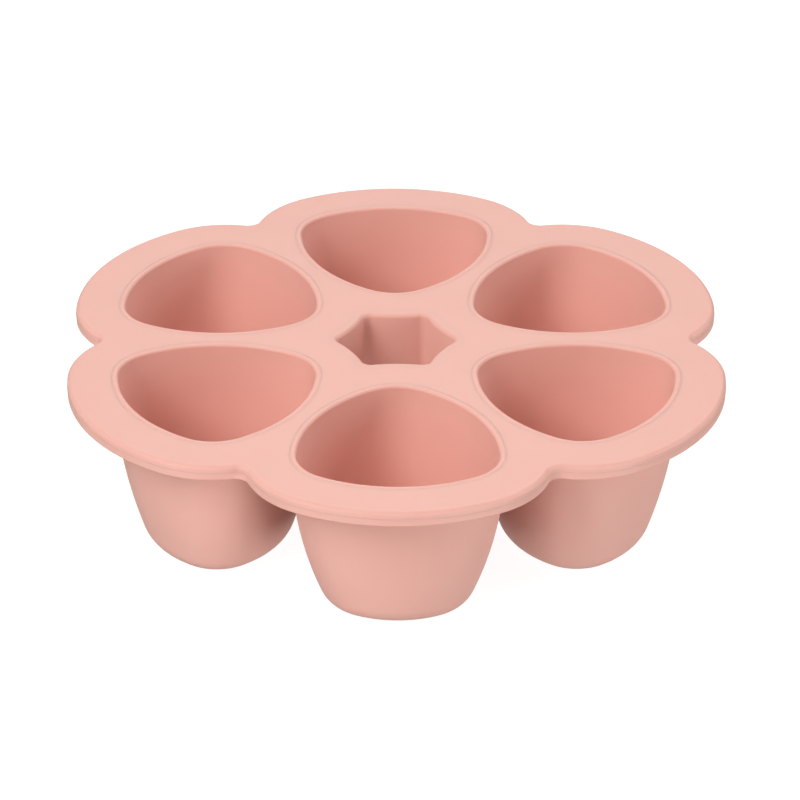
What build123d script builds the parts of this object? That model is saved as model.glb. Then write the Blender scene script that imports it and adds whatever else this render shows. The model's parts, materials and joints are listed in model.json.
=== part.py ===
from build123d import *
import os
from math import atan2, cos, degrees, radians, sin, sqrt

# A silicone tray that freezes portions of baby food. A flat six-lobed deck carries six tapered
# cups with rounded-triangle mouths, and a star-shaped collar opens through its middle. The real
# tray is one moulding: its features are separate solids here, which meet face to face along the
# lines that the moulding shows, the parting line round the rim and the groove round each lip.
#
# Frame: +Z up, the origin on the tray's axis in the plane of the cup feet. One cup lies on -Y
# (front) and one on +Y (back). Depths are measured down from the deck's top face.

# ---- Driving dimensions, in millimetres ----

# Layout
TRAY_HEIGHT = 59.4  # cup feet to the deck's top face
MOUTH_GAP = 18.2  # between the mouths of two neighbouring cups

# Cups: the inside of the mouth and of the foot, each a triangle of bowed sides and round corners
MOUTH_CORNER = 36.4  # cup axis to the tip of a corner
MOUTH_CORNER_RADIUS = 16.4
MOUTH_SIDE_RADIUS = 52.5
FOOT_CORNER = 21.7
FOOT_CORNER_RADIUS = 15.8
FOOT_SIDE_RADIUS = 28.0
TUCK_SHARE = 0.64  # how much of the taper comes from the wall curving under
TUCK_POWER = 2.5  # how late in its depth the wall curves under
WALL = 2.8
FLOOR = 2.8
FOOT_ROUND = 10.0  # outside rounding between wall and foot

# Sealing lip round each mouth, and the fine groove that sets it off from the deck
LIP_RISE = 0.4
LIP_INNER_ROUND = 1.0
LIP_OUTER_ROUND = 0.3
GROOVE_WIDTH = 0.35
GROOVE_DEPTH = 0.3

# Deck
DECK_THICKNESS = 5.3
RIM_WIDTH = 17.3  # mouth to the deck's edge
NOTCH_RADIUS = 4.6  # fillet between two lobes
RIM_TOP_ROUND = 1.4
RIM_BOTTOM_ROUND = 0.6
PARTING_DEPTH = 2.5  # deck's top face to the parting line
RIDGE_HEIGHT = 0.35  # parting ridge
RIDGE_PROUD = 0.15

# Star collar: the inside of its opening
STAR_TIP = 20.4  # tray axis to the end of a point
STAR_TIP_RADIUS = 3.0
STAR_SIDE_RADIUS = 44.0  # of the hollow side between two points
STAR_WALL = 2.8
STAR_DEPTH = 30.0
STAR_TOP_ROUND = 1.6
STAR_BOTTOM_ROUND = 0.6

# ---- Worked out from the above ----

CUPS = ("back_right", "back", "back_left", "front_left", "front", "front_right")
PITCH = 360.0 / len(CUPS)  # cups lie half a pitch off +X, notches and star points on it
HALF_PITCH = radians(PITCH / 2)
CORNER_CENTRE = MOUTH_CORNER - MOUTH_CORNER_RADIUS
CUP_CIRCLE = CORNER_CENTRE + (MOUTH_CORNER_RADIUS + MOUTH_GAP / 2) / sin(HALF_PITCH)
DECK_BOTTOM = TRAY_HEIGHT - DECK_THICKNESS
PARTING_PLANE = TRAY_HEIGHT - PARTING_DEPTH
UP = (0, 0, 1)
LOFT_LEVELS = 7  # sections that shape each cup's wall


def polar(radius, angle):
    return Vector(radius * cos(radians(angle)), radius * sin(radians(angle)), 0)


def arc(centre, radius, start, end):
    """Arc about centre from angle start to angle end."""
    points = [centre + polar(radius, angle) for angle in (start, (start + end) / 2, end)]
    return ThreePointArc(*points)


def rounded_triangle(corner, corner_radius, side_radius):
    """Triangle of three bowed sides and three round corners, all tangent, one side facing +X.

    A side's arc and a corner's arc touch from inside, so their centres lie side_radius less
    corner_radius apart. The side's centre lies behind the axis, seen from the side.
    """
    reach = corner - corner_radius
    along = reach * cos(radians(60))
    across = reach * sin(radians(60))
    setback = sqrt((side_radius - corner_radius) ** 2 - across**2) - along
    half = degrees(atan2(across, setback + along))
    arcs = []
    for facing in (0, 120, 240):
        arcs.append(arc(polar(-setback, facing), side_radius, facing - half, facing + half))
        centre = polar(reach, facing + 60)
        arcs.append(arc(centre, corner_radius, facing + half, facing + 120 - half))
    return make_face(Wire(arcs))


def cup_section(depth, grow=0.0):
    """Cross-section of the cup's inside at a depth below the deck's top, grown outwards."""
    share = depth / TRAY_HEIGHT
    tuck = max(share, 0) ** TUCK_POWER
    fall = (1 - TUCK_SHARE) * share + TUCK_SHARE * tuck
    corner = MOUTH_CORNER + (FOOT_CORNER - MOUTH_CORNER) * fall
    corner_radius = MOUTH_CORNER_RADIUS + (FOOT_CORNER_RADIUS - MOUTH_CORNER_RADIUS) * fall
    side_radius = MOUTH_SIDE_RADIUS + (FOOT_SIDE_RADIUS - MOUTH_SIDE_RADIUS) * fall
    section = rounded_triangle(corner + grow, corner_radius + grow, side_radius + grow)
    return Pos(0, 0, TRAY_HEIGHT - depth) * section


def tapered_body(top, bottom, grow, foot_round):
    """Solid loft through the cup's sections between two depths, with its foot edge rounded."""
    depths = [top + (bottom - top) * level / (LOFT_LEVELS - 1) for level in range(LOFT_LEVELS)]
    body = loft([cup_section(depth, grow) for depth in depths])
    foot = body.faces().sort_by(Axis.Z)[0]
    return fillet(foot.edges(), foot_round)


def cup_seat(height, grow=0.0):
    """Outline of the cup where it leaves the deck's underside, lifted to a height."""
    return Pos(0, 0, height - DECK_BOTTOM) * cup_section(DECK_THICKNESS, WALL + grow)


def lip_blank(groove_floor):
    """The sealing lip before the cup is hollowed out, from the groove's floor to its crown."""
    outline = cup_seat(groove_floor, -GROOVE_WIDTH)
    blank = extrude(outline, TRAY_HEIGHT + LIP_RISE - groove_floor, dir=UP)
    crown = blank.faces().sort_by(Axis.Z)[-1]
    return fillet(crown.edges(), LIP_OUTER_ROUND)


def cup():
    """One cup on its own axis, its outer side facing +X: wall and foot, collar, lip."""
    groove_floor = TRAY_HEIGHT - GROOVE_DEPTH
    body = tapered_body(DECK_THICKNESS, TRAY_HEIGHT, WALL, FOOT_ROUND)
    body += extrude(cup_seat(DECK_BOTTOM), groove_floor - DECK_BOTTOM, dir=UP)
    body += lip_blank(groove_floor)
    body -= tapered_body(-LIP_RISE, TRAY_HEIGHT - FLOOR, 0, FOOT_ROUND - WALL)
    crown = body.faces().sort_by(Axis.Z)[-1]
    return fillet(crown.inner_wires()[0].edges(), LIP_INNER_ROUND)


def in_place(shape, number):
    """A shape made on a cup's own axis, put where that cup stands on the tray."""
    return Rot(0, 0, PITCH * (number + 0.5)) * Pos(CUP_CIRCLE, 0, 0) * shape


def is_notch(vertex):
    """Notches lie half way between two cups, at whole pitches from +X."""
    pitches = degrees(atan2(vertex.Y, vertex.X)) / PITCH
    return abs(pitches - round(pitches)) < 0.001


def deck_outline(height, proud=0.0):
    """Six lobes, each a margin round its cup's mouth, with the notches between them filleted."""
    margin = RIM_WIDTH + proud
    lobe = rounded_triangle(
        MOUTH_CORNER + margin, MOUTH_CORNER_RADIUS + margin, MOUTH_SIDE_RADIUS + margin
    )
    outline = Circle(CUP_CIRCLE)
    for number in range(len(CUPS)):
        outline += in_place(lobe, number)
    notches = [vertex for vertex in outline.face().outer_wire().vertices() if is_notch(vertex)]
    return Pos(0, 0, height) * fillet(notches, NOTCH_RADIUS - proud)


def star(height, grow=0.0):
    """Star of rounded points and hollow sides, all arcs tangent, one point on +X.

    A point's arc and a side's arc touch from outside, so their centres lie the sum of their radii
    apart. That fixes how far out the side's centre lies, half a pitch round from the point.
    """
    tip_centre = STAR_TIP - STAR_TIP_RADIUS
    along = tip_centre * cos(HALF_PITCH)
    across = tip_centre * sin(HALF_PITCH)
    gap = sqrt((STAR_SIDE_RADIUS + STAR_TIP_RADIUS) ** 2 - across**2)
    half = degrees(atan2(across, gap))
    arcs = []
    for number in range(len(CUPS)):
        tip = number * PITCH
        side = tip + PITCH / 2
        turn = PITCH / 2 + half
        arcs.append(arc(polar(tip_centre, tip), STAR_TIP_RADIUS + grow, tip - turn, tip + turn))
        centre = polar(along + gap, side)
        arcs.append(arc(centre, STAR_SIDE_RADIUS - grow, side + 180 + half, side + 180 - half))
    return Pos(0, 0, height) * make_face(Wire(arcs))


def deck_layer(bottom, top, rounded_face, radius):
    """Deck between two heights, its outer edge rounded on one face."""
    plate = extrude(deck_outline(bottom), top - bottom, dir=UP)
    return fillet(plate.faces().sort_by(Axis.Z)[rounded_face].edges(), radius)


def pierced(plate, bottom, top):
    """A deck layer with its openings for the cups and the collar."""
    plate -= extrude(star(bottom, STAR_WALL), top - bottom, dir=UP)
    hole = extrude(cup_seat(bottom), top - bottom, dir=UP)
    for number in range(len(CUPS)):
        plate -= in_place(hole, number)
    return plate


def deck_upper():
    """The deck above the parting line."""
    plate = deck_layer(PARTING_PLANE, TRAY_HEIGHT, -1, RIM_TOP_ROUND)
    return pierced(plate, PARTING_PLANE, TRAY_HEIGHT)


def deck_lower():
    """The deck below the parting line, with the parting ridge round its top edge."""
    plate = deck_layer(DECK_BOTTOM, PARTING_PLANE, 0, RIM_BOTTOM_ROUND)
    plate += extrude(deck_outline(PARTING_PLANE - RIDGE_HEIGHT, RIDGE_PROUD), RIDGE_HEIGHT, dir=UP)
    return pierced(plate, DECK_BOTTOM, PARTING_PLANE)


def star_collar():
    """The wall of the star opening, open at both ends and flush with the deck's top."""
    bottom = TRAY_HEIGHT - STAR_DEPTH
    collar = extrude(star(bottom, STAR_WALL) - star(bottom), STAR_DEPTH, dir=UP)
    mouth = collar.faces().sort_by(Axis.Z)[-1].inner_wires()[0]
    collar = fillet(mouth.edges(), STAR_TOP_ROUND)
    return fillet(collar.faces().sort_by(Axis.Z)[0].edges(), STAR_BOTTOM_ROUND)


def main():
    nodes = {"deck_upper": deck_upper(), "deck_lower": deck_lower(), "star_collar": star_collar()}
    one_cup = cup()
    for number, place in enumerate(CUPS):
        nodes[f"cup_{place}"] = in_place(one_cup, number)
    os.makedirs("parts", exist_ok=True)
    for name, shape in nodes.items():
        export_step(shape, f"parts/{name}.step")


main()
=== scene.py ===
"""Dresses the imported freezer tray: moulded skins of satin silicone and a white studio stage.

Every skin is a surface worked out from the tray's sizes, and stands for one CAD node.
Lengths are in metres and angles in radians, in the frame of the CAD model: +Z up, the origin on
the tray's axis in the plane of the cup feet, one cup on -Y towards the camera.
"""

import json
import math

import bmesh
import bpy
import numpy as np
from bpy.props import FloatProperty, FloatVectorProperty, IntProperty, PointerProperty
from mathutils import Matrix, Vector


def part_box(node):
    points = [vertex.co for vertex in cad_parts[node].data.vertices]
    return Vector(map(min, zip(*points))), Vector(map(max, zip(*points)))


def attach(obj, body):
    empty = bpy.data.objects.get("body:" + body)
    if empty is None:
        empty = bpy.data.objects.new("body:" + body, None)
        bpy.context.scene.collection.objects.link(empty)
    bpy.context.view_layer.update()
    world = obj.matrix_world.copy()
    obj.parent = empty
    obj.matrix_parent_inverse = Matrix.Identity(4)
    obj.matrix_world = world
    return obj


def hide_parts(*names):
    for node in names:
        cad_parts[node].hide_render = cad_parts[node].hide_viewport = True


bl_info = {
    "name": "Freezer Tray",
    "version": (1, 0, 0),
    "blender": (4, 5, 0),
    "location": "View3D > Sidebar > Tray",
    "description": "Models the skins of a moulded silicone freezer tray, and its studio stage",
    "category": "Add Mesh",
}

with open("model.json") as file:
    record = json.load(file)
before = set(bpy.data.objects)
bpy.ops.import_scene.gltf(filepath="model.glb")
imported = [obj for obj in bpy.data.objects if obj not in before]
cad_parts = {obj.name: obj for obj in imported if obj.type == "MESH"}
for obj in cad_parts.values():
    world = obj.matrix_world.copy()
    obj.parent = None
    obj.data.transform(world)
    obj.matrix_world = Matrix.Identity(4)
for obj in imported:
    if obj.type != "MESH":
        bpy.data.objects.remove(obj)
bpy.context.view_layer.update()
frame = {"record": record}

# ---- Places taken from the frame ----

CUPS = ("back_right", "back", "back_left", "front_left", "front", "front_right")
PITCH = 2 * math.pi / len(CUPS)
FOOT = next(mount for mount in frame["record"]["mounts"] if mount["name"] == "foot_front")
CUP_CIRCLE = -FOOT["pos_m"][1]
DECK_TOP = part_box("deck_upper")[1][2]
PARTING_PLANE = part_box("deck_upper")[0][2]
DECK_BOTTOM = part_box("deck_lower")[0][2]
STAR_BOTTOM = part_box("star_collar")[0][2]

# ---- Angles, and how finely the surfaces are divided ----

QUARTER = math.pi / 2
THIRD = 2 * math.pi / 3  # from one side of a rounded triangle to the next
MERGE = 1e-7  # points of neighbouring surfaces nearer than this are one point
SMOOTH_ANGLE = math.radians(40)  # sharper edges than this keep a crease
SUPPORT = 0.0002  # a row of points this far before a rounding keeps the flat beside it flat
ROUND_STEPS = 8  # steps round a small rounding
FOOT_STEPS = 12  # steps round the outside of a cup's foot
WALL_STEPS = 35  # steps down a cup's wall
FLOOR_RINGS = (0, 0.5, 0.97)  # rings of a cup's floor, as shares of its flat part
CONTACT_ROUNDS = 6  # rounds that find where a rolling ball touches a wall
NOTCH_STEPS = 10  # steps of half a notch in the deck's edge
CORNER_STEPS = 28  # steps of a lobe's corner
SIDE_STEPS = 64  # steps of a lobe's side
TIP_STEPS = 12  # steps of half a point of the star
HOLLOW_STEPS = 24  # steps of a hollow side of the star
SPOKE_STEPS = 65  # steps from a notch in to the star
FACE_RINGS = (0, 0.5, 1)  # rings of the deck's faces, from a cup's hole to the border
SEAT_STEPS = 7200  # steps of the cup's seat in which points on rays are looked up
BEAD_STEPS = 6  # steps over the parting ridge


# ---- Settings ----


def size(name, description, default):
    return FloatProperty(
        name=name, description=description, default=default, min=0, unit="LENGTH", precision=5
    )


class CupSizes(bpy.types.PropertyGroup):
    """Sizes of the cups. The lip and its groove are finer than the CAD model's."""

    mouth_corner: size("Mouth corner", "Cup axis to the tip of a corner of the mouth", 0.0364)
    mouth_corner_radius: size("Mouth corner radius", "Radius of a corner of the mouth", 0.0164)
    mouth_side_radius: size("Mouth side radius", "Radius of a bowed side of the mouth", 0.0525)
    foot_corner: size("Foot corner", "Cup axis to the tip of a corner of the foot", 0.0217)
    foot_corner_radius: size("Foot corner radius", "Radius of a corner of the foot", 0.0158)
    foot_side_radius: size("Foot side radius", "Radius of a bowed side of the foot", 0.028)
    tuck_share: FloatProperty(
        name="Tuck share", description="Share of the taper that curves under", default=0.64
    )
    tuck_power: FloatProperty(
        name="Tuck power", description="How late the wall curves under", default=2.5
    )
    wall: size("Wall", "Thickness of the wall", 0.0028)
    floor: size("Floor", "Thickness of the floor", 0.0028)
    foot_round: size("Foot rounding", "Outside rounding between wall and foot", 0.01)
    lip_rise: size("Lip rise", "Height of the lip over the deck", 0.00013)
    lip_inner_round: size("Inner lip rounding", "Rounding from the lip into the cup", 0.001)
    lip_flank: size("Lip flank", "Width of the slope from the lip into the groove", 0.0005)
    groove_width: size("Groove width", "Width of the soft groove round the lip", 0.0004)
    groove_depth: size("Groove depth", "Depth of the soft groove round the lip", 0.00005)
    columns: IntProperty(name="Columns", description="Points round a cup", default=288, min=24)


class DeckSizes(bpy.types.PropertyGroup):
    """Sizes of the deck's rim. The parting ridge is finer than the CAD model's."""

    rim_width: size("Rim width", "From a mouth to the deck's edge", 0.0173)
    notch_radius: size("Notch radius", "Fillet between two lobes", 0.0046)
    top_round: size("Top rounding", "Rounding of the rim's top edge", 0.0014)
    bottom_round: size("Bottom rounding", "Rounding of the rim's bottom edge", 0.0006)
    ridge_height: size("Ridge height", "Height of the parting ridge", 0.00035)
    ridge_proud: size("Ridge rise", "How far the parting ridge stands out", 0.0001)


class StarSizes(bpy.types.PropertyGroup):
    """Sizes of the star-shaped collar."""

    tip: size("Point", "Tray axis to the end of a point", 0.0204)
    tip_radius: size("Point radius", "Radius of a point", 0.003)
    side_radius: size("Side radius", "Radius of a hollow side", 0.044)
    wall: size("Wall", "Thickness of the wall", 0.0028)
    top_round: size("Top rounding", "Rounding of the opening's top edge", 0.0016)
    bottom_round: size("Bottom rounding", "Rounding of the bottom edges", 0.0006)


class SiliconeFinish(bpy.types.PropertyGroup):
    """Colour and surface of the silicone."""

    colour: FloatVectorProperty(
        name="Colour", description="Colour of the silicone", subtype="COLOR", size=3,
        default=(0.822, 0.45, 0.378), min=0, max=1,
    )
    roughness: FloatProperty(
        name="Roughness", description="Roughness of the satin surface", default=0.5,
        min=0, max=1, subtype="FACTOR",
    )
    depth: size("Light depth", "How far light travels inside the silicone", 0.003)
    cloud: size("Clouds", "Size of the faint clouds in the colour", 0.02)
    mottle: size("Mottle", "Size of the faint blotches in the gloss", 0.004)
    grain: size("Grain", "Size of the fine mould grain", 0.0004)


class StudioSetup(bpy.types.PropertyGroup):
    """Camera, floor and lights."""

    camera_distance: size("Camera distance", "Camera to its target", 1.3864)
    target_front: size("Target to the front", "Tray axis to the camera's target", 0.04405)
    target_right: size("Target to the right", "Tray axis to the camera's target", 0.00145)
    camera_elevation: FloatProperty(
        name="Camera elevation", description="Camera's angle above the horizon",
        default=math.radians(29.05), subtype="ANGLE",
    )
    camera_turn: FloatProperty(
        name="Camera turn", description="Camera's angle round the tray from the front",
        default=math.radians(-0.685), subtype="ANGLE",
    )
    camera_roll: FloatProperty(
        name="Camera roll", description="Camera's tilt about its own axis",
        default=math.radians(0.277), subtype="ANGLE",
    )
    lens: FloatProperty(
        name="Lens", description="Focal length in millimetres", default=184.66,
    )
    floor_half: size("Floor", "Middle of the floor to its edge", 6.0)
    light_distance: size("Light distance", "Middle of the tray to the studio lights", 2.2)
    light_width: size("Light width", "Side of a studio light", 1.0)
    sky: FloatProperty(name="Sky", description="Strength of the even white light", default=0.18)


# ---- Curves: loops of tangent arcs, given by the direction of their outward normal ----


def unit(angle):
    """(cos, sin) of each angle, on a new last axis."""
    return np.stack([np.cos(angle), np.sin(angle)], axis=-1)


def run(start, end, steps):
    """Angles from start to end without the end, so that runs follow each other."""
    return np.linspace(start, end, steps, endpoint=False)


def arc(centre, radius, normals):
    """Points of an arc and their outward normals n: centre + radius n.

    A hollow arc has its centre outside the loop and a negative radius, and the same rule holds.
    Moving each point by a margin along its normal gives the parallel loop.
    """
    n = unit(normals)
    return np.asarray(centre) + radius * n, n


def joined(arcs):
    """One loop or stretch of points and normals from arcs that follow each other."""
    return tuple(np.concatenate(column) for column in zip(*arcs))


def triangle_setback(corner, corner_radius, side_radius):
    """How far behind a rounded triangle's centre the centre of a side's arc lies.

    A side's arc and a corner's arc touch from inside, so their centres lie the difference of
    their radii apart.
    """
    reach = corner - corner_radius
    across = reach * math.sin(THIRD / 2)
    return np.sqrt((side_radius - corner_radius) ** 2 - across**2) - reach / 2


def rounded_triangle(facing, corner, corner_radius, side_radius):
    """Point of a rounded triangle where its outward normal has the angle facing.

    Within a side's sector the point is the side's arc centre plus side_radius n, and beyond it
    the corner's arc centre plus corner_radius n. Sides face 0, 120 and 240 degrees.
    """
    reach = corner - corner_radius
    setback = triangle_setback(corner, corner_radius, side_radius)
    half = np.arctan2(reach * math.sin(THIRD / 2), setback + reach / 2)
    side = np.round(facing / THIRD) * THIRD
    off_side = facing - side
    corner_at = side + np.where(off_side >= 0, 1, -1) * THIRD / 2
    on_side = (np.abs(off_side) <= half)[..., None]
    side_arc = -setback[..., None] * unit(side) + side_radius[..., None] * unit(facing)
    corner_arc = reach[..., None] * unit(corner_at) + corner_radius[..., None] * unit(facing)
    return np.where(on_side, side_arc, corner_arc)


# ---- Meshes from grids of points ----


def level(points, height):
    """Plan points with a height added."""
    heights = np.broadcast_to(height, points.shape[:-1])
    return np.concatenate([points, heights[..., None]], axis=-1)


def turned(points, angle):
    """Points turned about the tray's axis."""
    c, s = math.cos(angle), math.sin(angle)
    turn = np.array([[c, s, 0], [-s, c, 0], [0, 0, 1]])
    return points @ turn[: points.shape[-1], : points.shape[-1]]


def grid_faces(rows, columns):
    """Quads of a grid of points numbered row by row."""
    corner = np.arange((rows - 1) * columns).reshape(rows - 1, columns)[:, :-1]
    return np.stack([corner, corner + 1, corner + columns + 1, corner + columns], -1).reshape(-1, 4)


def skin(name, grids):
    """A closed mesh object from grids of points, each of shape (rows, columns, 3).

    Rows and columns that lie on each other are merged, which closes rings, poles and seams.
    """
    points, faces, start = [], [], 0
    for grid in grids:
        rows, columns = grid.shape[:2]
        points.append(grid.reshape(-1, 3))
        faces.append(grid_faces(rows, columns) + start)
        start += rows * columns
    mesh = bpy.data.meshes.new(name)
    mesh.from_pydata(np.concatenate(points), [], np.concatenate(faces))
    cleaner = bmesh.new()
    cleaner.from_mesh(mesh)
    bmesh.ops.remove_doubles(cleaner, verts=cleaner.verts, dist=MERGE)
    bmesh.ops.recalc_face_normals(cleaner, faces=cleaner.faces)
    cleaner.to_mesh(mesh)
    cleaner.free()
    mesh.shade_smooth()
    mesh.set_sharp_from_angle(angle=SMOOTH_ANGLE)
    piece = bpy.data.objects.new(name, mesh)
    bpy.context.collection.objects.link(piece)
    return piece


def hand_over(piece, node):
    """The piece gets the silicone, moves with the tray and stands for its CAD node."""
    piece.data.materials.append(silicone())
    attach(piece, "root")
    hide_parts(node)


# ---- Cups ----


def cup_wall(cup, facing, depth, grow=0.0):
    """Plan point of a cup's wall whose normal has the angle facing, at a depth below the deck.

    The triangle shrinks from mouth to foot by a straight taper and a tuck that sets in late:
    fall = (1 - q) s + q s^n, where s is the depth over the tray's height.
    """
    share = depth / DECK_TOP
    tuck = np.maximum(share, 0) ** cup.tuck_power
    fall = (1 - cup.tuck_share) * share + cup.tuck_share * tuck
    corner = cup.mouth_corner + (cup.foot_corner - cup.mouth_corner) * fall
    corner_radius = (
        cup.mouth_corner_radius + (cup.foot_corner_radius - cup.mouth_corner_radius) * fall
    )
    side_radius = cup.mouth_side_radius + (cup.foot_side_radius - cup.mouth_side_radius) * fall
    return rounded_triangle(facing, corner + grow, corner_radius + grow, side_radius + grow)


def wall_lean(cup, facing, depth):
    """Angle between the wall and the vertical: how fast the wall draws in along its normal."""
    step = 0.0001
    above = cup_wall(cup, facing, depth - step)
    below = cup_wall(cup, facing, depth + step)
    return np.arctan(np.sum((above - below) * unit(facing), axis=-1) / (2 * step))


def ball_contact(cup, facing, plane_depth, radius, side):
    """Where a ball that rolls between the wall and a level plane touches the wall.

    side is 1 for a ball above a floor, inside the wall, and -1 for one below a crown, in the
    wall's stuff. The contact's depth is plane - side radius (1 - side sin lean), found by
    repeating the rule from a first guess.
    """
    depth = np.full(facing.shape, plane_depth - side * radius)
    for _ in range(CONTACT_ROUNDS):
        lean = wall_lean(cup, facing, depth)
        depth = plane_depth - side * radius * (1 - side * np.sin(lean))
    return depth, wall_lean(cup, facing, depth)


def ball_arc(cup, facing, plane_depth, radius, side, grow, steps=ROUND_STEPS):
    """Rows of a rounding from the wall to a level plane, as (plan points, depth) pairs.

    Each is the ball's centre plus its radius along a direction that turns from the wall's
    normal, at the angle lean, to straight down (side 1), or from the wall's inner face to
    straight up (side -1).
    """
    depth, lean = ball_contact(cup, facing, plane_depth, radius, side)
    n = unit(facing)
    contact = cup_wall(cup, facing, depth, grow)
    rows = []
    for share in np.linspace(0, 1, steps + 1):
        turn = lean + (side * QUARTER - lean) * share
        inward = np.cos(lean) - np.cos(turn)
        plan = contact - side * (radius * inward)[..., None] * n
        rows.append((plan, depth + radius * (np.sin(turn) - np.sin(lean))))
    return rows


def rounding(margin, height, radius, start, end):
    """Profile rows round an edge: centre (margin, height) plus radius (cos, sin)."""
    turns = np.linspace(start, end, ROUND_STEPS + 1)
    return [(margin + radius * math.cos(turn), height + radius * math.sin(turn)) for turn in turns]


def lip_profile(cup):
    """The lip's outer half, rows of (reach outwards from the cup's seat, height over the deck).

    The flank is half a wave, rise (1 + cos(pi t)) / 2, where t goes from 0 to 1 down it, and the
    groove is one whole wave, -depth (1 - cos(2 pi t)) / 2.
    """
    crown = -cup.groove_width - cup.lip_flank
    profile = [(crown - SUPPORT, cup.lip_rise)]
    for share in np.linspace(0, 1, ROUND_STEPS + 1)[:-1]:
        wave = (1 + math.cos(math.pi * share)) / 2
        profile.append((crown + cup.lip_flank * share, cup.lip_rise * wave))
    for share in np.linspace(0, 1, ROUND_STEPS + 1):
        wave = (1 - math.cos(2 * math.pi * share)) / 2
        profile.append((cup.groove_width * (share - 1), -cup.groove_depth * wave))
    return profile


def wall_rows(cup, facing, start, end, grow):
    """Rows of a wall between two depths, without the two ends."""
    rows = []
    for share in np.linspace(0, 1, WALL_STEPS + 1)[1:-1]:
        depth = start + (end - start) * share
        rows.append((cup_wall(cup, facing, depth, grow), depth))
    return rows


def cup_surface(cup):
    """Rings of a whole cup, from the middle of its floor, up its inside, over its lip, down its
    outside and to the middle of its foot, as an array of shape (rings, columns, 3).

    The cup's own axis is the origin and its outward side faces +X.
    """
    facing = np.linspace(-THIRD / 2, 2.5 * THIRD, cup.columns + 1)
    n = unit(facing)
    floor_depth = DECK_TOP - cup.floor
    seat_depth = np.full(facing.shape, DECK_TOP - DECK_BOTTOM)

    inner_foot = ball_arc(cup, facing, floor_depth, cup.foot_round - cup.wall, 1, 0.0)
    inner_crown = ball_arc(cup, facing, -cup.lip_rise, cup.lip_inner_round, -1, 0.0)
    rows = [(inner_foot[-1][0] * share, floor_depth) for share in FLOOR_RINGS]
    rows += inner_foot[::-1]
    rows += wall_rows(cup, facing, inner_foot[0][1], inner_crown[0][1], 0.0)
    rows += inner_crown
    rows.append((inner_crown[-1][0] + SUPPORT * n, -cup.lip_rise))

    seat = cup_wall(cup, facing, seat_depth, cup.wall)
    rows += [(seat + reach * n, -height) for reach, height in lip_profile(cup)]
    rows.append((seat, seat_depth))

    outer_foot = ball_arc(cup, facing, DECK_TOP, cup.foot_round, 1, cup.wall, FOOT_STEPS)
    rows += wall_rows(cup, facing, seat_depth, outer_foot[0][1], cup.wall)
    rows += outer_foot
    rows += [(outer_foot[-1][0] * share, DECK_TOP) for share in reversed(FLOOR_RINGS)]
    return np.stack([level(plan, DECK_TOP - depth) for plan, depth in rows])


# ---- Deck ----


def lobe(cup, deck):
    """The deck's edge from one notch to the next, round the cup that faces +X.

    Five arcs: half a notch, a corner, a side, a corner and half a notch, each the cup mouth's arc
    grown by the rim's width. The notch's arc touches both neighbouring corners from outside.
    """
    reach = cup.mouth_corner - cup.mouth_corner_radius
    setback = triangle_setback(cup.mouth_corner, cup.mouth_corner_radius, cup.mouth_side_radius)
    half = math.atan2(reach * math.sin(THIRD / 2), setback + reach / 2)
    corner_radius = cup.mouth_corner_radius + deck.rim_width
    side_radius = cup.mouth_side_radius + deck.rim_width
    notch_at = PITCH / 2
    along = (CUP_CIRCLE + reach) * math.cos(notch_at)
    across = (CUP_CIRCLE - reach) * math.sin(notch_at)
    out = math.sqrt((corner_radius + deck.notch_radius) ** 2 - across**2)
    touch = math.atan2(across, out)
    arcs = []
    centre = (along + out) * unit(-notch_at)
    normals = run(-notch_at, -notch_at - touch, NOTCH_STEPS)
    arcs.append(arc(centre, -deck.notch_radius, normals))
    centre = np.array([CUP_CIRCLE, 0]) + reach * unit(-THIRD / 2)
    arcs.append(arc(centre, corner_radius, run(-notch_at - touch, -half, CORNER_STEPS)))
    centre = np.array([CUP_CIRCLE - setback, 0])
    arcs.append(arc(centre, side_radius, run(-half, half, SIDE_STEPS)))
    centre = np.array([CUP_CIRCLE, 0]) + reach * unit(THIRD / 2)
    arcs.append(arc(centre, corner_radius, run(half, notch_at + touch, CORNER_STEPS)))
    centre = (along + out) * unit(notch_at)
    normals = np.linspace(notch_at + touch, notch_at, NOTCH_STEPS + 1)
    arcs.append(arc(centre, -deck.notch_radius, normals))
    return joined(arcs)


def star_side(star):
    """The star opening from one point's end to the next, round its side that faces +X.

    Three arcs: half a point, the hollow side and half a point. A point's arc and a side's arc
    touch from outside, so their centres lie the sum of their radii apart.
    """
    tip_at = PITCH / 2
    tip_centre = star.tip - star.tip_radius
    along = tip_centre * math.cos(tip_at)
    across = tip_centre * math.sin(tip_at)
    gap = math.sqrt((star.side_radius + star.tip_radius) ** 2 - across**2)
    half = math.atan2(across, gap)
    centre = tip_centre * unit(-tip_at)
    first = arc(centre, star.tip_radius, run(-tip_at, half, TIP_STEPS))
    centre = np.array([along + gap, 0])
    side = arc(centre, -star.side_radius, run(half, -half, HOLLOW_STEPS))
    centre = tip_centre * unit(tip_at)
    last = arc(centre, star.tip_radius, np.linspace(-half, tip_at, TIP_STEPS + 1))
    return joined([first, side, last])


def all_round(stretch):
    """A stretch of one pitch repeated round the tray's axis into a closed loop."""
    points, normals = stretch
    turns = [PITCH * (number + 0.5) for number in range(len(CUPS))]
    return tuple(
        np.concatenate([turned(part, turn)[:-1] for turn in turns] + [turned(part, turns[0])[:1]])
        for part in (points, normals)
    )


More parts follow.
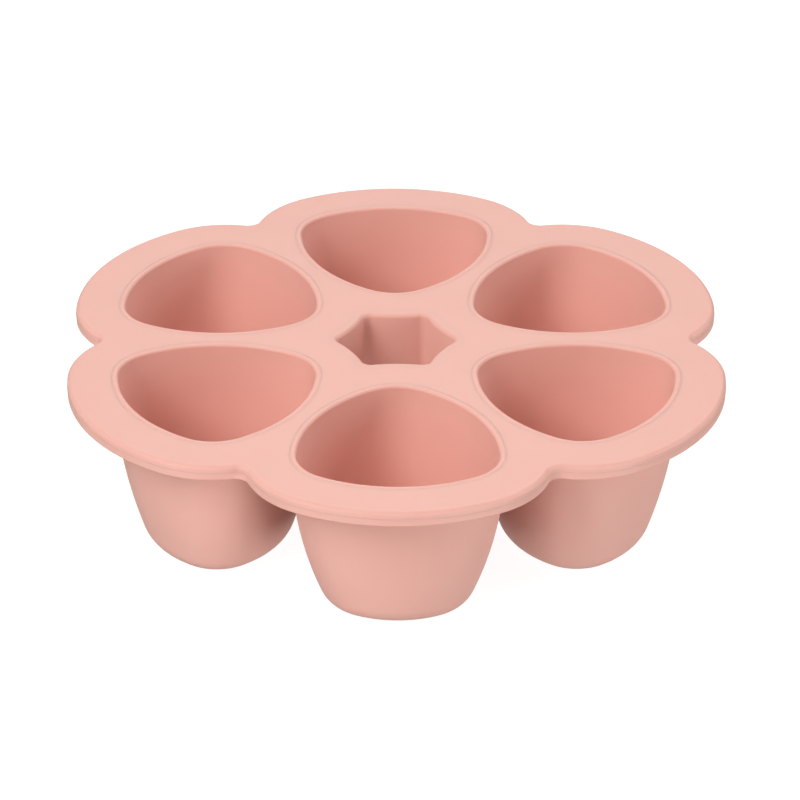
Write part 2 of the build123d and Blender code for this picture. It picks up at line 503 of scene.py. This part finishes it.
def cup_hole(cup, rays):
    """Point of the cup's seat in the deck on each ray, an angle about the cup's axis."""
    facing = np.linspace(-math.pi, math.pi, SEAT_STEPS + 1)
    depth = np.full(facing.shape, DECK_TOP - DECK_BOTTOM)
    outline = cup_wall(cup, facing, depth, cup.wall)
    angle = np.unwrap(np.arctan2(outline[:, 1], outline[:, 0]))
    reach = np.hypot(outline[:, 0], outline[:, 1])
    wrapped = np.mod(rays - angle[0], 2 * math.pi) + angle[0]
    return np.interp(wrapped, angle, reach)[:, None] * unit(rays)


def deck_face(cup, rim, side, height):
    """One face of the deck between two notches: a ring of points from the cup's hole to the
    border of its sixth, matched by their direction from the cup.

    The border runs along the rim, in to a star point, along the star's side and out again. A
    point between them is hole (1 - t) + border t.
    """
    spoke = np.linspace(0, 1, SPOKE_STEPS + 1)[1:-1, None]
    inwards = rim[-1] + (side[-1] - rim[-1]) * spoke
    outwards = side[0] + (rim[0] - side[0]) * spoke
    border = np.concatenate([rim, inwards, side[::-1], outwards, rim[:1]])
    rays = np.arctan2(border[:, 1], border[:, 0] - CUP_CIRCLE)
    hole = np.array([CUP_CIRCLE, 0]) + cup_hole(cup, rays)
    shares = np.array(FACE_RINGS)[:, None, None]
    return level(hole + (border - hole) * shares, height)


def upper_profile(deck):
    """Edge of the deck above the parting line, rows of (margin outwards, height)."""
    top = deck.top_round
    profile = [(-SUPPORT, PARTING_PLANE), (0.0, PARTING_PLANE)]
    profile += rounding(-top, DECK_TOP - top, top, 0, QUARTER)
    profile.append((-top - SUPPORT, DECK_TOP))
    return profile


def lower_profile(deck):
    """Edge of the deck below the parting line, with the half-round parting ridge at its top."""
    foot = deck.bottom_round
    bead = deck.ridge_height / 2
    middle = PARTING_PLANE - bead
    profile = [(-foot - SUPPORT, DECK_BOTTOM)]
    profile += rounding(-foot, DECK_BOTTOM + foot, foot, -QUARTER, 0)
    for turn in np.linspace(-QUARTER, QUARTER, BEAD_STEPS + 1):
        profile.append((deck.ridge_proud * math.cos(turn), middle + bead * math.sin(turn)))
    profile.append((-SUPPORT, PARTING_PLANE))
    return profile


def plate(name, cup, deck, star, profile):
    """A layer of the deck from the profile of its edge, rows of (margin outwards, height).

    Two faces in six parts each, the edge, six cup holes and the star's hole.
    """
    edge, edge_normals = all_round(lobe(cup, deck))
    rim, rim_normals = lobe(cup, deck)
    side, side_normals = star_side(star)
    side = side + star.wall * side_normals
    grids = [np.stack([level(edge + margin * edge_normals, height) for margin, height in profile])]
    ends = (profile[0], profile[-1])
    faces = [deck_face(cup, rim + margin * rim_normals, side, height) for margin, height in ends]
    holes = np.stack([face[0] for face in faces])
    star_hole = np.stack([level(side, height) for _, height in ends])
    for number in range(len(CUPS)):
        turn = PITCH * (number + 0.5)
        grids += [turned(grid, turn) for grid in (*faces, holes, star_hole)]
    return skin(name, grids)


# ---- Star collar ----


def star_surface(star):
    """Rings of the collar: profile rows of (grow, height) carried round the star's loop."""
    loop, normals = all_round(star_side(star))
    top, foot = star.top_round, star.bottom_round
    profile = [(star.wall, DECK_TOP), (top + SUPPORT, DECK_TOP)]
    profile += rounding(top, DECK_TOP - top, top, QUARTER, 2 * QUARTER)
    profile += rounding(foot, STAR_BOTTOM + foot, foot, 2 * QUARTER, 3 * QUARTER)
    profile += rounding(star.wall - foot, STAR_BOTTOM + foot, foot, -QUARTER, 0)
    profile += [(star.wall, DECK_BOTTOM), (star.wall, DECK_TOP)]
    return np.stack([level(loop + grow * normals, height) for grow, height in profile])


# ---- Finishes ----


class Wire:
    """An output socket that takes part in Python arithmetic; each operation adds a Math node."""

    def __init__(self, shader, socket):
        self.shader = shader
        self.socket = socket

    def maths(self, operation, first, second):
        values = {0: first, 1: second}
        return self.shader.node("ShaderNodeMath", {"operation": operation}, values)

    def __add__(self, other):
        return self.maths("ADD", self, other)

    def __sub__(self, other):
        return self.maths("SUBTRACT", self, other)

    def __rsub__(self, other):
        return self.maths("SUBTRACT", other, self)

    def __mul__(self, other):
        return self.maths("MULTIPLY", self, other)

    __radd__ = __add__
    __rmul__ = __mul__


class Shader:
    """Builds a material's nodes."""

    def __init__(self, name):
        self.material = bpy.data.materials.new(name)
        self.material.use_nodes = True
        self.tree = self.material.node_tree
        self.tree.nodes.clear()

    def node(self, kind, settings=None, values=None, output=0):
        """Adds a node: its settings first, then the values or wires of its sockets."""
        node = self.tree.nodes.new(kind)
        for name, value in (settings or {}).items():
            setattr(node, name, value)
        for name, value in (values or {}).items():
            if isinstance(value, Wire):
                self.tree.links.new(value.socket, node.inputs[name])
            else:
                node.inputs[name].default_value = value
        return Wire(self, node.outputs[output])

    def noise(self, place, feature, detail=2.0):
        """Noise from 0 to 1 whose blotches are about feature metres across."""
        values = {"Vector": place, "Scale": 1 / feature, "Detail": detail, "Roughness": 0.5}
        return self.node("ShaderNodeTexNoise", {"noise_dimensions": "3D"}, values)

    def tint(self, factor, first, second):
        """Mixes two colours."""
        mix = {"data_type": "RGBA", "blend_type": "MIX"}
        values = {0: factor, 6: (*first, 1), 7: (*second, 1)}
        return self.node("ShaderNodeMix", mix, values, output=2)

    def finish(self, surface):
        output = self.tree.nodes.new("ShaderNodeOutputMaterial")
        self.tree.links.new(surface.socket, output.inputs["Surface"])
        return self.material


def scaled(colour, factor):
    return tuple(min(1.0, channel * factor) for channel in colour)


CLOUD_SHADES = (0.975, 1.02)  # colours of the clouds against the silicone's own
MOTTLE_ROUGHNESS = 0.06  # how much the roughness varies with the mottle
GRAIN_ROUGHNESS = 0.04  # and with the grain
MOTTLE_HEIGHT = 0.6  # relief of the mottle against the grain's


def silicone():
    """Satin silicone: soft light depth, faint cloudiness in the colour and the gloss, and the
    fine grain that a blasted mould leaves."""
    if "satin_silicone" in bpy.data.materials:
        return bpy.data.materials["satin_silicone"]
    look = bpy.context.scene.tray_silicone
    shader = Shader("satin_silicone")
    place = shader.node("ShaderNodeTexCoord", output=3)
    cloud = shader.noise(place, look.cloud)
    mottle = shader.noise(place, look.mottle)
    grain = shader.noise(place, look.grain, detail=3.0)
    colour = shader.tint(cloud, *(scaled(look.colour, shade) for shade in CLOUD_SHADES))
    roughness = look.roughness + (mottle - 0.5) * MOTTLE_ROUGHNESS + grain * GRAIN_ROUGHNESS
    relief = grain + mottle * MOTTLE_HEIGHT
    bump = {"Height": relief, "Strength": 0.08, "Distance": 0.00004}
    principled = {
        "Base Color": colour,
        "Roughness": roughness,
        "IOR": 1.41,
        "Specular IOR Level": 0.45,
        "Subsurface Weight": 0.35,
        "Subsurface Radius": (0.6, 0.5, 0.45),
        "Subsurface Scale": look.depth,
        "Normal": shader.node("ShaderNodeBump", values=bump),
    }
    return shader.finish(shader.node("ShaderNodeBsdfPrincipled", values=principled))


# ---- Stage ----

# Name, azimuth and elevation in degrees, watts. Azimuth 270 is the camera's side. The two from
# below stand for the light that a pale table throws up on the cups.
STUDIO_LIGHTS = (
    ("key_left", 225, 42, 29),
    ("low_left", 225, 18, 7.5),
    ("right", 0, 18, 15),
    ("back", 90, 42, 17),
    ("under_left", 225, -22, 13),
    ("under_right", 315, -22, 22),
)

# Name, azimuth and elevation in degrees, distance, width, watts
NEAR_LIGHT = ("over", 300, 74, 0.4, 0.3, 0.3)


def add_camera(studio):
    """The camera on its arc round a target in the deck's plane, tilted by its roll."""
    e = studio.camera_elevation
    turn = Matrix.Rotation(studio.camera_turn, 3, "Z")
    target = turn @ Vector((studio.target_right, -studio.target_front, 0))
    target += Vector((0, 0, DECK_TOP))
    back = turn @ Vector((0, -math.cos(e), math.sin(e)))
    right = turn @ Vector((1, 0, 0))
    up = back.cross(right)
    c, s = math.cos(studio.camera_roll), math.sin(studio.camera_roll)
    right, up = c * right + s * up, c * up - s * right
    data = bpy.data.cameras.new("camera")
    data.lens = studio.lens
    data.sensor_width = 36.0
    data.clip_start, data.clip_end = 0.05, 50.0
    camera = bpy.data.objects.new("camera", data)
    facing = Matrix((right, up, back)).transposed().to_4x4()
    place = target + studio.camera_distance * back
    camera.matrix_world = Matrix.Translation(place) @ facing
    bpy.context.collection.objects.link(camera)
    bpy.context.scene.camera = camera


def floor_finish():
    """Matt white paper, lit from behind so that the tray's shadow on it stays faint."""
    shader = Shader("white_paper")
    values = {
        "Base Color": (0.22, 0.22, 0.22, 1),
        "Roughness": 0.9,
        "Specular IOR Level": 0.0,
        "Emission Color": (1.0, 1.0, 1.0, 1),
        "Emission Strength": 0.93,
    }
    return shader.finish(shader.node("ShaderNodeBsdfPrincipled", values=values))


def add_floor(half):
    """A square white floor in the plane of the cup feet, which throws no light or shadow."""
    near = [[-half, -half, 0], [half, -half, 0]]
    far = [[-half, half, 0], [half, half, 0]]
    floor = skin("floor", [np.array([near, far])])
    floor.data.materials.append(floor_finish())
    floor.visible_diffuse = False
    floor.visible_glossy = False
    floor.visible_shadow = False


def add_softbox(name, azimuth, elevation, distance, width, watts):
    """A square soft light seen from the middle of the tray at two angles in degrees, facing it."""
    azimuth, elevation = math.radians(azimuth), math.radians(elevation)
    along = math.cos(elevation)
    away = Vector((along * math.cos(azimuth), along * math.sin(azimuth), math.sin(elevation)))
    data = bpy.data.lights.new(name, "AREA")
    data.size = width
    data.energy = watts
    light = bpy.data.objects.new(name, data)
    light.location = Vector((0, 0, DECK_TOP)) + distance * away
    light.rotation_euler = away.to_track_quat("Z", "Y").to_euler()
    bpy.context.collection.objects.link(light)


def add_sky(strength):
    """Even white light from all round."""
    world = bpy.data.worlds.new("studio")
    world.use_nodes = True
    world.node_tree.nodes["Background"].inputs["Color"].default_value = (1, 1, 1, 1)
    world.node_tree.nodes["Background"].inputs["Strength"].default_value = strength
    bpy.context.scene.world = world


# ---- Operators ----


class TRAY_OT_deck(bpy.types.Operator):
    """Model the two layers of the six-lobed deck."""

    bl_idname = "tray.deck"
    bl_label = "Deck"

    def execute(self, context):
        scene = context.scene
        cup, deck, star = scene.tray_cup, scene.tray_deck, scene.tray_star
        upper = plate("deck_upper_skin", cup, deck, star, upper_profile(deck))
        hand_over(upper, "deck_upper")
        lower = plate("deck_lower_skin", cup, deck, star, lower_profile(deck))
        hand_over(lower, "deck_lower")
        return {"FINISHED"}


class TRAY_OT_cups(bpy.types.Operator):
    """Model the six cups, each with its sealing lip."""

    bl_idname = "tray.cups"
    bl_label = "Cups"

    def execute(self, context):
        rings = cup_surface(context.scene.tray_cup) + np.array([CUP_CIRCLE, 0, 0])
        for number, place in enumerate(CUPS):
            piece = skin(f"cup_{place}_skin", [turned(rings, PITCH * (number + 0.5))])
            hand_over(piece, f"cup_{place}")
        return {"FINISHED"}


class TRAY_OT_star_collar(bpy.types.Operator):
    """Model the star-shaped collar in the middle of the deck."""

    bl_idname = "tray.star_collar"
    bl_label = "Star Collar"

    def execute(self, context):
        hand_over(skin("star_collar_skin", [star_surface(context.scene.tray_star)]), "star_collar")
        return {"FINISHED"}


class TRAY_OT_stage(bpy.types.Operator):
    """Set up the white floor, the soft lights and the camera."""

    bl_idname = "tray.stage"
    bl_label = "Stage"

    def execute(self, context):
        scene = context.scene
        studio = scene.tray_studio
        add_camera(studio)
        add_floor(studio.floor_half)
        for name, azimuth, elevation, watts in STUDIO_LIGHTS:
            add_softbox(name, azimuth, elevation, studio.light_distance, studio.light_width, watts)
        add_softbox(*NEAR_LIGHT)
        add_sky(studio.sky)
        scene.view_settings.view_transform = "Standard"
        return {"FINISHED"}


class TRAY_PT_tools(bpy.types.Panel):
    """Buttons that model the tray, in the sidebar."""

    bl_label = "Freezer Tray"
    bl_idname = "TRAY_PT_tools"
    bl_space_type = "VIEW_3D"
    bl_region_type = "UI"
    bl_category = "Tray"

    def draw(self, context):
        for operator in OPERATORS:
            self.layout.operator(operator.bl_idname)


SETTINGS = {
    "tray_cup": CupSizes,
    "tray_deck": DeckSizes,
    "tray_star": StarSizes,
    "tray_silicone": SiliconeFinish,
    "tray_studio": StudioSetup,
}
OPERATORS = (TRAY_OT_deck, TRAY_OT_cups, TRAY_OT_star_collar, TRAY_OT_stage)


def register():
    for group in SETTINGS.values():
        bpy.utils.register_class(group)
    for operator in OPERATORS:
        bpy.utils.register_class(operator)
    bpy.utils.register_class(TRAY_PT_tools)
    for name, group in SETTINGS.items():
        setattr(bpy.types.Scene, name, PointerProperty(type=group))


def unregister():
    for name in SETTINGS:
        delattr(bpy.types.Scene, name)
    bpy.utils.unregister_class(TRAY_PT_tools)
    for operator in reversed(OPERATORS):
        bpy.utils.unregister_class(operator)
    for group in reversed(SETTINGS.values()):
        bpy.utils.unregister_class(group)


def main():
    register()
    bpy.ops.tray.deck()
    bpy.ops.tray.cups()
    bpy.ops.tray.star_collar()
    bpy.ops.tray.stage()


if __name__ == "__main__":
    main()
